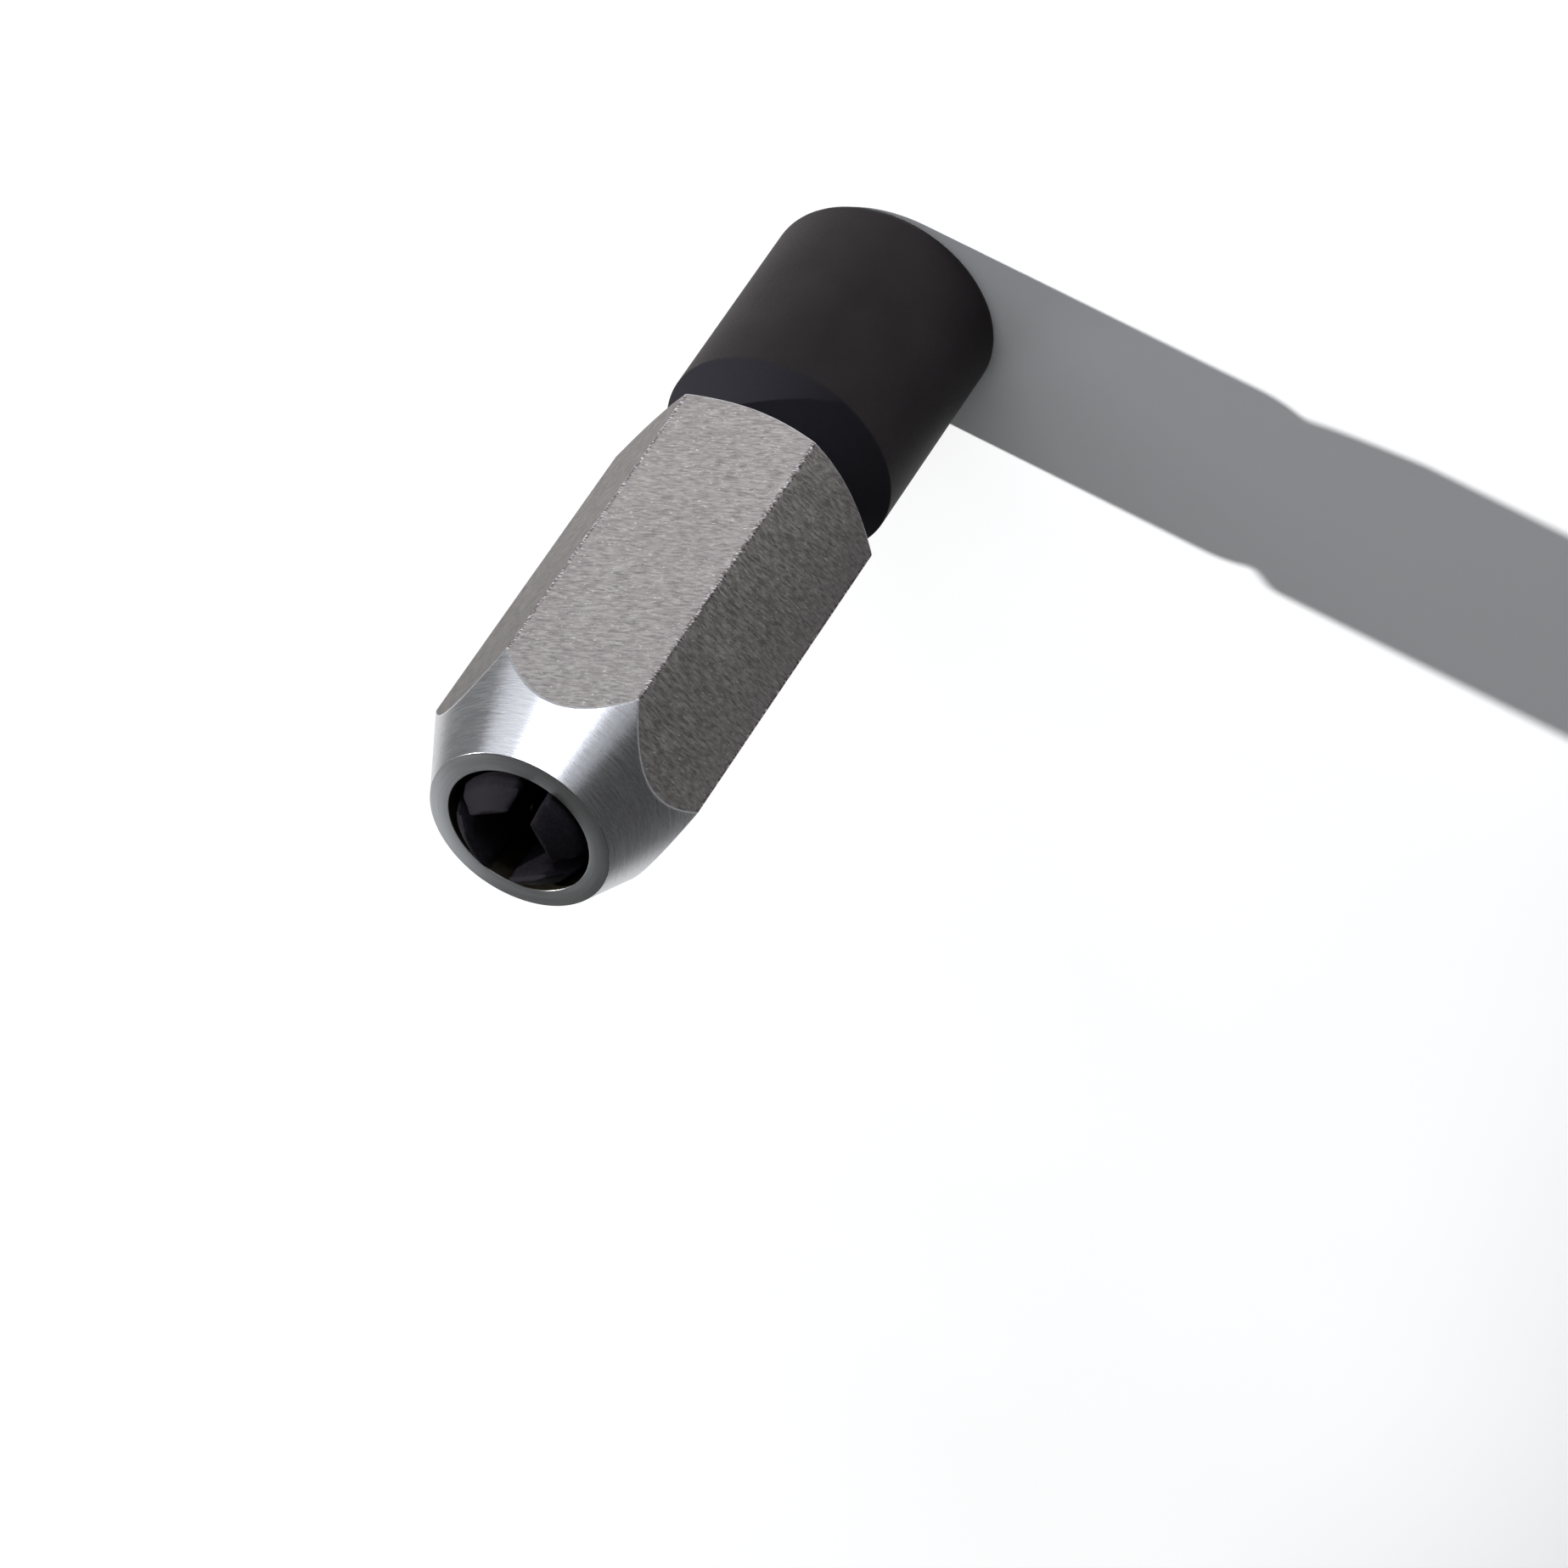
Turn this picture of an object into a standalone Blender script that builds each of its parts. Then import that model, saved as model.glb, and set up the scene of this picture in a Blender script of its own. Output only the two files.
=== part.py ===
"""Adjustable tap socket: a square-drive body whose hex nut closes four jaws on a square shank.

The tool stands on its drive end, at z = 0. Its axis is +Z, with the nose up. The jaws lie on the
X and Y axes. The nut is drawn where the jaws grip a square of twice GRIP_HALF. A positive turn
unscrews the nut: it moves up, and the jaws open as they follow its inner cone.
"""

import math

import bmesh
import bpy
from mathutils import Matrix, Vector

MM = 0.001
FULL_TURN = 2 * math.pi
QUARTER_TURN = math.radians(90)
HALF_RIGHT_ANGLE = math.radians(45)

# Facets, and how far a cutter stands past the surface that it cuts
SEGMENTS = 72
ARC_STEPS = 5
DIMPLE_SEGMENTS = 20
HOLE_SEGMENTS = 16
RING_STEPS = 48
STEPS_PER_COIL = 10
CUT_OVERRUN = 0.50 * MM
SAME_PLACE = 0.001 * MM

# Running and resting clearances between pieces
SEAT_GAP = 0.30 * MM
THREAD_CLEARANCE = 0.15 * MM
TONGUE_CLEARANCE = 0.20 * MM
RING_CLEARANCE = 0.10 * MM
SPRING_END_GAP = 0.10 * MM
LIMIT_GAP = 0.12 * MM

# Travel of the nut either way from where it is drawn
THREAD_PITCH = 1.411 * MM
OPENING_TURNS = 430 / 360

# Drive body: the black half with the female square
BODY_RADIUS = 9.65 * MM
BODY_LENGTH = 19.80 * MM
REAR_EDGE_RADIUS = 0.90 * MM
SHOULDER_ANGLE = math.radians(40)
SQUARE = 9.60 * MM
SQUARE_DEPTH = 12.00 * MM
SQUARE_CHAMFER = 0.60 * MM
SQUARE_CORNER = 0.45 * MM
PILOT_UNDERSIZE = 0.08 * MM
PILOT_OVERRUN = 1.60 * MM
DRILL_POINT = math.radians(59)
DIMPLE_RADIUS = 1.90 * MM
DIMPLE_DEPTH = 0.55 * MM
DIMPLE_HEIGHT = 5.60 * MM

# Hex nut: the bright half that turns on the stem
HEX_FLATS = 19.05 * MM
NUT_ROLL = math.radians(-33)
NUT_LENGTH = 40.80 * MM
NUT_STAND_OFF = 0.41 * MM
NUT_REAR_LAND = 0.56 * MM
NUT_REAR_ANGLE = math.radians(55.9)
NUT_WALL = 1.525 * MM
NOSE_WALL = 1.62 * MM
NOSE_ANGLE = math.radians(23.9)
MOUTH_RADIUS = 5.86 * MM
MOUTH_LENGTH = 1.20 * MM
CLOSING_ANGLE = math.radians(20)
CHAMBER_STEP = 0.71 * MM
SKIRT_CHAMFER = 0.45 * MM
EDGE_BREAK = 0.20 * MM

# Stem: the front of the drive body, which carries the thread and seats the jaws
UNDERCUT_DEPTH = 0.84 * MM
STEM_CHAMFER = 0.50 * MM
SHANK_BORE_RADIUS = 4.00 * MM
SHANK_BORE_DEPTH = 15.00 * MM
SLOT_WIDTH = 3.60 * MM
SLOT_DEPTH = 3.00 * MM

# Retaining ring: a sprung wire ring in the nut's groove that meets the end of the thread
RING_WIRE = 1.10 * MM
RING_INSET = 2.60 * MM
RING_OVERLAP = 0.38 * MM
RING_OPENING = math.radians(24)
RING_STOP_GAP = 0.36 * MM

# Jaws: four quarters with flat grips, a cone outside, a bevelled nose that stands out of the
# nut's mouth and a tongue in the stem's slots
JAW_COUNT = 4
JAW_LENGTH = 17.60 * MM
JAW_PROUD = 1.90 * MM
GRIP_HALF = 3.03 * MM
JAW_PARTING = 1.90 * MM
JAW_TIP_RADIUS = 3.55 * MM
JAW_BEVEL_ANGLE = math.radians(45)
JAW_FRONT_CHAMFER = 0.25 * MM
TONGUE_INSET = 0.36 * MM

# Jaw springs: two between each pair of neighbouring jaws, above the jaws' seat
SPRING_WIRE = 0.28 * MM
SPRING_DIAMETER = 1.35 * MM
SPRING_TURNS = 6
SPRING_HOLE = 1.60 * MM
SPRING_HOLE_DEPTH = 2.00 * MM
SPRING_INSET = 2.20 * MM
SPRING_RISES = (3.30 * MM, 8.70 * MM)

# Radii that follow from the hex, from the outside in
CHAMBER_RADIUS = HEX_FLATS / 2 - NUT_WALL
THREAD_BORE = CHAMBER_RADIUS - CHAMBER_STEP
THREAD_RADIUS = THREAD_BORE - THREAD_CLEARANCE
UNDERCUT_RADIUS = THREAD_RADIUS - UNDERCUT_DEPTH
NUT_REAR_RADIUS = THREAD_BORE + SKIRT_CHAMFER + NUT_REAR_LAND
NOSE_RADIUS = MOUTH_RADIUS + NOSE_WALL
PILOT_RADIUS = SQUARE / 2 - PILOT_UNDERSIZE
RING_INNER_RADIUS = THREAD_RADIUS - RING_OVERLAP

# Travel that follows from the thread and the closing cone
CLOSING_SLOPE = math.tan(CLOSING_ANGLE)
NUT_OPENING = THREAD_PITCH * OPENING_TURNS
JAW_OPENING = NUT_OPENING * CLOSING_SLOPE
JAW_RADIUS = CHAMBER_RADIUS - JAW_OPENING - LIMIT_GAP
TONGUE_END = THREAD_BORE - JAW_OPENING - LIMIT_GAP - TONGUE_INSET

# Heights that follow, from the drive end up
SHOULDER_END = BODY_LENGTH + (BODY_RADIUS - UNDERCUT_RADIUS) / math.tan(SHOULDER_ANGLE)
NUT_REAR = SHOULDER_END + NUT_STAND_OFF
RING_HEIGHT = NUT_REAR + RING_INSET
UNDERCUT_END = RING_HEIGHT + RING_WIRE / 2 + NUT_OPENING + RING_STOP_GAP
NOSE_END = NUT_REAR + NUT_LENGTH
CONE_FRONT = NOSE_END - MOUTH_LENGTH
JAW_FRONT = NOSE_END + JAW_PROUD
JAW_SEAT = JAW_FRONT - JAW_LENGTH
STEM_END = JAW_SEAT - SEAT_GAP
CHAMBER_REAR = STEM_END - NUT_OPENING - LIMIT_GAP
SPRING_HEIGHTS = [JAW_SEAT + rise for rise in SPRING_RISES]


def clear_scene():
    for old in list(bpy.data.objects):
        bpy.data.objects.remove(old, do_unlink=True)


def make_material(name, colour, roughness, metallic=1.0):
    material = bpy.data.materials.new(name)
    material.use_nodes = True
    shader = material.node_tree.nodes["Principled BSDF"]
    shader.inputs["Base Color"].default_value = (*colour, 1.0)
    shader.inputs["Roughness"].default_value = roughness
    shader.inputs["Metallic"].default_value = metallic
    return material


def add_object(name, data, material=None, parent=None):
    thing = bpy.data.objects.new(name, data)
    bpy.context.scene.collection.objects.link(thing)
    if material is not None and not data.materials:
        data.materials.append(material)
    thing.parent = parent
    return thing


def add_axis(name, height=0.0, turn=0.0):
    """An empty on the tool's axis, which a moving piece hangs from."""
    empty = add_object(name, None)
    empty.location = (0.0, 0.0, height)
    empty.rotation_euler = (0.0, 0.0, turn)
    return empty


def mesh_from(bm, name):
    bmesh.ops.recalc_face_normals(bm, faces=bm.faces)
    mesh = bpy.data.meshes.new(name)
    bm.to_mesh(mesh)
    bm.free()
    return mesh


def turned(name, outline, closed):
    """Spins an outline of (radius, height) points about Z.

    An open outline starts and ends on the axis; a closed one stays clear of it.
    """
    bm = bmesh.new()
    points = [bm.verts.new((radius, 0.0, height)) for radius, height in outline]
    pairs = list(zip(points, points[1:]))
    if closed:
        pairs.append((points[-1], points[0]))
    edges = [bm.edges.new(pair) for pair in pairs]
    bmesh.ops.spin(
        bm, geom=points + edges, cent=(0, 0, 0), axis=(0, 0, 1), angle=FULL_TURN,
        steps=SEGMENTS, use_merge=True,
    )
    bmesh.ops.remove_doubles(bm, verts=bm.verts, dist=SAME_PLACE)
    return mesh_from(bm, name)


def prism(name, outline, low, high, upright_bevel=0.0, bevel_steps=1, top_chamfer=0.0):
    """Extrudes a flat outline of (x, y) points from one height to another."""
    bm = bmesh.new()
    base = bm.faces.new([bm.verts.new((x, y, low)) for x, y in outline])
    grown = bmesh.ops.extrude_face_region(bm, geom=[base])
    lifted = [item for item in grown["geom"] if isinstance(item, bmesh.types.BMVert)]
    bmesh.ops.translate(bm, verts=lifted, vec=(0.0, 0.0, high - low))
    if upright_bevel:
        uprights = [e for e in bm.edges if e.verts[0].co.xy == e.verts[1].co.xy]
        bmesh.ops.bevel(
            bm, geom=uprights, offset=upright_bevel, offset_type="OFFSET",
            segments=bevel_steps, profile=0.5, affect="EDGES",
        )
    if top_chamfer:
        rim = [e for e in bm.edges if min(v.co.z for v in e.verts) > high - SAME_PLACE]
        bmesh.ops.bevel(
            bm, geom=rim, offset=top_chamfer, offset_type="OFFSET",
            segments=1, profile=0.5, affect="EDGES",
        )
    return mesh_from(bm, name)


def combine(target, mesh, operation):
    """Applies one exact boolean between an object and a mesh that shares its axes."""
    tool = bpy.data.objects.new(f"{target.name}_tool", mesh)
    bpy.context.scene.collection.objects.link(tool)
    tool.parent = target
    modifier = target.modifiers.new("combine", "BOOLEAN")
    modifier.operation = operation
    modifier.solver = "EXACT"
    modifier.object = tool
    bpy.context.view_layer.update()
    seen = target.evaluated_get(bpy.context.evaluated_depsgraph_get())
    result = bpy.data.meshes.new_from_object(seen)
    target.modifiers.remove(modifier)
    target.data = result
    bpy.data.objects.remove(tool, do_unlink=True)


def shade(thing, angle=30):
    thing.data.shade_smooth()
    thing.data.set_sharp_from_angle(angle=math.radians(angle))


def quarter_arc(radius, height, size, start):
    """Points of a quarter circle of one size about (radius, height)."""
    turns = [start + QUARTER_TURN * step / ARC_STEPS for step in range(ARC_STEPS + 1)]
    return [(radius + size * math.cos(t), height + size * math.sin(t)) for t in turns]


def regular_outline(count, flats):
    """A polygon with its first flat facing +X, given the distance across its flats."""
    corner = flats / 2 / math.cos(math.pi / count)
    turns = [FULL_TURN * (step + 0.5) / count for step in range(count)]
    return [(corner * math.cos(t), corner * math.sin(t)) for t in turns]


def body_outline():
    """Half section of the drive body with its pilot hole and shank bore, axis to axis."""
    pilot_end = SQUARE_DEPTH + PILOT_OVERRUN
    pilot_tip = pilot_end + PILOT_RADIUS / math.tan(DRILL_POINT)
    bore_end = STEM_END - SHANK_BORE_DEPTH
    bore_tip = bore_end - SHANK_BORE_RADIUS / math.tan(DRILL_POINT)
    rear_edge = quarter_arc(
        BODY_RADIUS - REAR_EDGE_RADIUS, REAR_EDGE_RADIUS, REAR_EDGE_RADIUS, -QUARTER_TURN
    )
    return [
        (0.0, pilot_tip),
        (PILOT_RADIUS, pilot_end),
        (PILOT_RADIUS, 0.0),
        *rear_edge,
        (BODY_RADIUS, BODY_LENGTH),
        (UNDERCUT_RADIUS, SHOULDER_END),
        (UNDERCUT_RADIUS, UNDERCUT_END),
        (THREAD_RADIUS, UNDERCUT_END + UNDERCUT_DEPTH),
        (THREAD_RADIUS, STEM_END - STEM_CHAMFER),
        (THREAD_RADIUS - STEM_CHAMFER, STEM_END),
        (SHANK_BORE_RADIUS + STEM_CHAMFER, STEM_END),
        (SHANK_BORE_RADIUS, STEM_END - STEM_CHAMFER),
        (SHANK_BORE_RADIUS, bore_end),
        (0.0, bore_tip),
    ]


def square_mouth():
    """The countersunk lead into the drive square, a four-sided frustum."""
    bm = bmesh.new()
    rings = []
    for height, spread in ((-CUT_OVERRUN, SQUARE_CHAMFER + CUT_OVERRUN), (SQUARE_CHAMFER, 0.0)):
        size = SQUARE / 2 + spread
        corners = ((size, size), (-size, size), (-size, -size), (size, -size))
        rings.append([bm.verts.new((x, y, height)) for x, y in corners])
    bm.faces.new(rings[0])
    bm.faces.new(rings[1])
    for step in range(4):
        after = (step + 1) % 4
        bm.faces.new((rings[0][step], rings[0][after], rings[1][after], rings[1][step]))
    return mesh_from(bm, "square_mouth")


def cross_outline(width, reach):
    """A plus sign: the outline of two slots that cross on the axis."""
    half = width / 2
    arm = [(reach, -half), (reach, half), (half, half)]
    points = []
    for step in range(4):
        turn = Matrix.Rotation(QUARTER_TURN * step, 2)
        points += [turn @ Vector(corner) for corner in arm]
    return points


def dimple(step):
    """A ball-shaped recess in the middle of one wall of the drive square."""
    bm = bmesh.new()
    bmesh.ops.create_uvsphere(
        bm, u_segments=DIMPLE_SEGMENTS, v_segments=DIMPLE_SEGMENTS // 2, radius=DIMPLE_RADIUS
    )
    reach = SQUARE / 2 + DIMPLE_DEPTH - DIMPLE_RADIUS
    turn = QUARTER_TURN * step
    place = (reach * math.cos(turn), reach * math.sin(turn), DIMPLE_HEIGHT)
    bmesh.ops.translate(bm, verts=bm.verts, vec=place)
    return mesh_from(bm, "dimple")


def make_drive_body(material):
    body = add_object("drive_body", turned("drive_body", body_outline(), closed=False), material)
    broach = prism(
        "broach", regular_outline(4, SQUARE), -CUT_OVERRUN, SQUARE_DEPTH,
        upright_bevel=SQUARE_CORNER, bevel_steps=2,
    )
    combine(body, broach, "DIFFERENCE")
    combine(body, square_mouth(), "DIFFERENCE")
    for step in range(4):
        combine(body, dimple(step), "DIFFERENCE")
    slots = prism(
        "slots", cross_outline(SLOT_WIDTH, THREAD_RADIUS + CUT_OVERRUN),
        STEM_END - SLOT_DEPTH, STEM_END + CUT_OVERRUN,
    )
    combine(body, slots, "DIFFERENCE")
    shade(body)


def nut_outline():
    """Half section of the nut, inside and out, before the hex is cut."""
    envelope = HEX_FLATS / 2 / math.cos(math.radians(30)) + CUT_OVERRUN
    rear_corner = NUT_REAR + (envelope - NUT_REAR_RADIUS) / math.tan(NUT_REAR_ANGLE)
    front_corner = NOSE_END - (envelope - NOSE_RADIUS) / math.tan(NOSE_ANGLE)
    cone_rear = CONE_FRONT - (CHAMBER_RADIUS - MOUTH_RADIUS) / CLOSING_SLOPE
    groove_radius = RING_INNER_RADIUS + RING_WIRE + RING_CLEARANCE
    groove_half = RING_WIRE / 2 + RING_CLEARANCE
    return [
        (NUT_REAR_RADIUS, NUT_REAR),
        (envelope, rear_corner),
        (envelope, front_corner),
        (NOSE_RADIUS + EDGE_BREAK * math.tan(NOSE_ANGLE), NOSE_END - EDGE_BREAK),
        (NOSE_RADIUS - EDGE_BREAK, NOSE_END),
        (MOUTH_RADIUS + EDGE_BREAK, NOSE_END),
        (MOUTH_RADIUS, NOSE_END - EDGE_BREAK),
        (MOUTH_RADIUS, CONE_FRONT),
        (CHAMBER_RADIUS, cone_rear),
        (CHAMBER_RADIUS, CHAMBER_REAR),
        (THREAD_BORE, CHAMBER_REAR),
        (THREAD_BORE, RING_HEIGHT + groove_half),
        (groove_radius, RING_HEIGHT + groove_half),
        (groove_radius, RING_HEIGHT - groove_half),
        (THREAD_BORE, RING_HEIGHT - groove_half),
        (THREAD_BORE, NUT_REAR + SKIRT_CHAMFER),
        (THREAD_BORE + SKIRT_CHAMFER, NUT_REAR),
    ]


def make_hex_nut(material):
    """The nut hangs from an empty that is turned to the roll at which it is drawn."""
    axis = add_axis("nut_axis", turn=NUT_ROLL)
    nut = add_object("hex_nut", turned("hex_nut", nut_outline(), closed=True), material, axis)
    hexagon = prism(
        "hexagon", regular_outline(6, HEX_FLATS), NUT_REAR - CUT_OVERRUN, NOSE_END + CUT_OVERRUN
    )
    combine(nut, hexagon, "INTERSECT")
    shade(nut)


def make_wire(name, points, diameter, bevel_resolution):
    """A round wire along a list of points, as a curve with closed ends."""
    curve = bpy.data.curves.new(name, "CURVE")
    curve.dimensions = "3D"
    curve.bevel_depth = diameter / 2
    curve.bevel_resolution = bevel_resolution
    curve.use_fill_caps = True
    spline = curve.splines.new("POLY")
    spline.points.add(len(points) - 1)
    for point, place in zip(spline.points, points):
        point.co = (*place, 1.0)
    return curve


def make_retaining_ring(material):
    axis = add_axis("ring_axis", height=RING_HEIGHT, turn=NUT_ROLL)
    centre = RING_INNER_RADIUS + RING_WIRE / 2
    sweep = FULL_TURN - RING_OPENING
    turns = [RING_OPENING / 2 + sweep * step / RING_STEPS for step in range(RING_STEPS + 1)]
    points = [(centre * math.cos(t), centre * math.sin(t), 0.0) for t in turns]
    wire = make_wire("retaining_ring", points, RING_WIRE, bevel_resolution=2)
    add_object("retaining_ring", wire, material, axis)


def jaw_cone_radius(height):
    """Radius of the jaws' outer cone, which lies a seat gap inside the nut's inner cone."""
    mouth = MOUTH_RADIUS - SEAT_GAP / math.cos(CLOSING_ANGLE)
    return mouth + (CONE_FRONT - height) * CLOSING_SLOPE


def jaw_outline():
    """Half section of the solid of revolution that gives the jaws their cone and their bevel."""
    slope = math.tan(JAW_BEVEL_ANGLE)
    cone_rear = JAW_FRONT - (JAW_RADIUS - jaw_cone_radius(JAW_FRONT)) / CLOSING_SLOPE
    bevel_depth = (jaw_cone_radius(JAW_FRONT) - JAW_TIP_RADIUS) / (slope - CLOSING_SLOPE)
    bevel_rear = JAW_FRONT - bevel_depth
    return [
        (0.0, JAW_SEAT - CUT_OVERRUN),
        (JAW_RADIUS, JAW_SEAT - CUT_OVERRUN),
        (JAW_RADIUS, cone_rear),
        (jaw_cone_radius(bevel_rear), bevel_rear),
        (JAW_TIP_RADIUS - CUT_OVERRUN * slope, JAW_FRONT + CUT_OVERRUN),
        (0.0, JAW_FRONT + CUT_OVERRUN),
    ]


def quadrant_outline():
    """The plan of one jaw on +X: a grip across the front and sides along the diagonals."""
    shift = JAW_PARTING / math.sqrt(2)
    far = JAW_RADIUS + CUT_OVERRUN
    return [
        (GRIP_HALF, -(GRIP_HALF - shift)),
        (far, -(far - shift)),
        (far, far - shift),
        (GRIP_HALF, GRIP_HALF - shift),
    ]


def tongue_outline():
    half = SLOT_WIDTH / 2 - TONGUE_CLEARANCE
    return [(GRIP_HALF, -half), (TONGUE_END, -half), (TONGUE_END, half), (GRIP_HALF, half)]


def spring_reach():
    """Distance from the tool's axis to the springs' axes, kept inside the jaws' cone."""
    return min(JAW_RADIUS, jaw_cone_radius(max(SPRING_HEIGHTS))) - SPRING_INSET


def spring_pocket(side, height):
    """A blind hole bored square to the side of the jaw on +X, from the middle of the gap."""
    reach = spring_reach()
    diagonal = side * HALF_RIGHT_ANGLE
    heading = diagonal - side * QUARTER_TURN
    depth = JAW_PARTING / 2 + SPRING_HOLE_DEPTH
    bm = bmesh.new()
    bmesh.ops.create_cone(
        bm, cap_ends=True, segments=HOLE_SEGMENTS,
        radius1=SPRING_HOLE / 2, radius2=SPRING_HOLE / 2, depth=depth,
    )
    bmesh.ops.translate(bm, verts=bm.verts, vec=(0.0, 0.0, depth / 2))
    place = (reach * math.cos(diagonal), reach * math.sin(diagonal), height)
    turn = Matrix.Rotation(heading, 4, "Z") @ Matrix.Rotation(QUARTER_TURN, 4, "Y")
    bmesh.ops.transform(bm, matrix=Matrix.Translation(place) @ turn, verts=bm.verts)
    return mesh_from(bm, "spring_pocket")


def make_jaw_mesh(material):
    """One jaw, drawn on +X in world heights."""
    blank = prism(
        "jaw", quadrant_outline(), JAW_SEAT, JAW_FRONT, top_chamfer=JAW_FRONT_CHAMFER
    )
    pattern = add_object("jaw_pattern", blank, material)
    combine(pattern, turned("jaw_cone", jaw_outline(), closed=False), "INTERSECT")
    tongue_low = STEM_END - SLOT_DEPTH + SEAT_GAP
    tongue = prism("tongue", tongue_outline(), tongue_low, JAW_SEAT + CUT_OVERRUN)
    combine(pattern, tongue, "UNION")
    for side in (-1, 1):
        for height in SPRING_HEIGHTS:
            combine(pattern, spring_pocket(side, height), "DIFFERENCE")
    shade(pattern)
    mesh = pattern.data
    bpy.data.objects.remove(pattern, do_unlink=True)
    return mesh


def make_jaws(material):
    mesh = make_jaw_mesh(material)
    mesh.transform(Matrix.Translation((0.0, 0.0, -JAW_SEAT)))
    for step in range(JAW_COUNT):
        jaw = add_object(f"jaw_{step + 1}", mesh, material)
        jaw.location = (0.0, 0.0, JAW_SEAT)
        jaw.rotation_euler = (0.0, 0.0, FULL_TURN * step / JAW_COUNT)


def spring_points():
    """A helix along +X with its middle at the origin."""
    length = JAW_PARTING + 2 * (SPRING_HOLE_DEPTH - SPRING_END_GAP) - SPRING_WIRE
    coil = (SPRING_DIAMETER - SPRING_WIRE) / 2
    steps = SPRING_TURNS * STEPS_PER_COIL
    points = []
    for step in range(steps + 1):
        turn = FULL_TURN * step / STEPS_PER_COIL
        along = length * (step / steps - 0.5)
        points.append((along, coil * math.cos(turn), coil * math.sin(turn)))
    return points


def make_springs(material):
    """Springs 1 and 2 lie between jaws 1 and 2, springs 3 and 4 between jaws 2 and 3, and so on."""
    curve = make_wire("jaw_spring", spring_points(), SPRING_WIRE, bevel_resolution=1)
    reach = spring_reach()
    number = 0
    for step in range(JAW_COUNT):
        gap = FULL_TURN * (step + 0.5) / JAW_COUNT
        for height in SPRING_HEIGHTS:
            number += 1
            spring = add_object(f"jaw_spring_{number}", curve, material)
            spring.location = (reach * math.cos(gap), reach * math.sin(gap), height)
            spring.rotation_euler = (0.0, 0.0, gap + QUARTER_TURN)


def main():
    clear_scene()
    black_steel = make_material("black_oxide_steel", (0.021, 0.019, 0.020), 0.42)
    nut_steel = make_material("satin_nut_steel", (0.56, 0.55, 0.54), 0.30)
    jaw_steel = make_material("black_jaw_steel", (0.016, 0.015, 0.017), 0.36)
    spring_steel = make_material("spring_steel", (0.42, 0.42, 0.43), 0.28)
    make_drive_body(black_steel)
    make_hex_nut(nut_steel)
    make_retaining_ring(spring_steel)
    make_jaws(jaw_steel)
    make_springs(spring_steel)


main()
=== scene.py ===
import math

import bmesh
import bpy
from mathutils import Matrix, Vector


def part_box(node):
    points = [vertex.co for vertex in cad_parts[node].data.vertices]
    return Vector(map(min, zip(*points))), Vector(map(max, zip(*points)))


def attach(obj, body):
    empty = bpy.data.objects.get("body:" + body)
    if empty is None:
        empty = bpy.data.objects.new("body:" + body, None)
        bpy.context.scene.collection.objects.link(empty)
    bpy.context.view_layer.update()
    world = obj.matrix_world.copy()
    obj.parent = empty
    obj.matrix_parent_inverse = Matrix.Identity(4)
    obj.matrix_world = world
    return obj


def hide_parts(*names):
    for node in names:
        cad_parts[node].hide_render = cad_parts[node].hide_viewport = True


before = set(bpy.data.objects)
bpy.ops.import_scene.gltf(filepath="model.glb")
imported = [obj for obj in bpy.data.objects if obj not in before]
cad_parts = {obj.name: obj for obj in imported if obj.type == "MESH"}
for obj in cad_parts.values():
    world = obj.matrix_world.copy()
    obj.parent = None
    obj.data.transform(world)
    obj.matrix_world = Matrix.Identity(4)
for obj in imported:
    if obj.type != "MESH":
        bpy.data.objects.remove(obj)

MM = 0.001
FULL_TURN = 2 * math.pi
QUARTER_TURN = math.radians(90)
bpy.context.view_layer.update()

# Camera: where the photograph was taken from, in the part's own frame
CAMERA_PLACE = Vector((346.84, -470.18, 528.73)) * MM
CAMERA_AIM = Vector((-22.29, 5.00, 32.40)) * MM
CAMERA_ROLL = math.radians(-146.24)
CAMERA_LENS = 229.2
CAMERA_SENSOR = 36.0
CAMERA_CLIP_START = 0.01

# Studio: azimuths and elevations in degrees, lengths in metres. The spot's level is how bright
# it makes a white card that faces it at the object.
SPOT_AZIMUTH, SPOT_ELEVATION, SPOT_DISTANCE = 47, 33, 3.00
SPOT_RADIUS = 0.03
SPOT_LEVEL = 1.62
SPOT_CONE = 7.82
SPOT_BLEND = 0.05
SPOT_NARROWING = 0.332
SPOT_AIM = Vector((-0.053, 0.056, 0.0))
# Each softbox: name, azimuth, elevation, distance, width, height, brightness of its face
SOFTBOXES = (
    ("front_softbox", -30, 12, 0.70, 0.65, 0.30, 4.4),
    ("fading_softbox", -66, 12, 0.70, 0.26, 0.30, 0.75),
    ("side_softbox", 14, 12, 0.70, 0.40, 0.30, 1.9),
    ("back_softbox", 113, 27, 0.80, 0.30, 0.30, 1.3),
)
SOFTBOX_AIM = Vector((0.0, 0.0, 55 * MM))
SOFTBOX_TINT = (0.90, 0.94, 1.0)
WORLD_LEVEL = 0.08
FLOOR_SIZE = 4.0

# Colours of the materials, linear: the darker and the lighter one between which noise picks
GROUND_DARK, GROUND_LIGHT = (0.222, 0.204, 0.198), (0.450, 0.422, 0.409)
GROUND_STAIN = (0.31, 0.280, 0.280)
# Painted glints: the colour of small bright specks on the flats, a highlight painted into the base colour
GROUND_PAINTED_GLINT = (0.78, 0.76, 0.76)
GROUND_TINT = (0.55, 0.55, 0.55, 1.0)
# The colour of a darker line along each ridge of the hex
RIDGE_DARKENING = (0.11, 0.085, 0.09)
RIDGE_WORN = (0.80, 0.76, 0.78)
TURNED_DARK, TURNED_LIGHT = (0.455, 0.445, 0.460), (0.55, 0.555, 0.565)
NOSE_RING_DARK, NOSE_RING_LIGHT = (0.42, 0.42, 0.42), (0.52, 0.52, 0.515)
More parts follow.
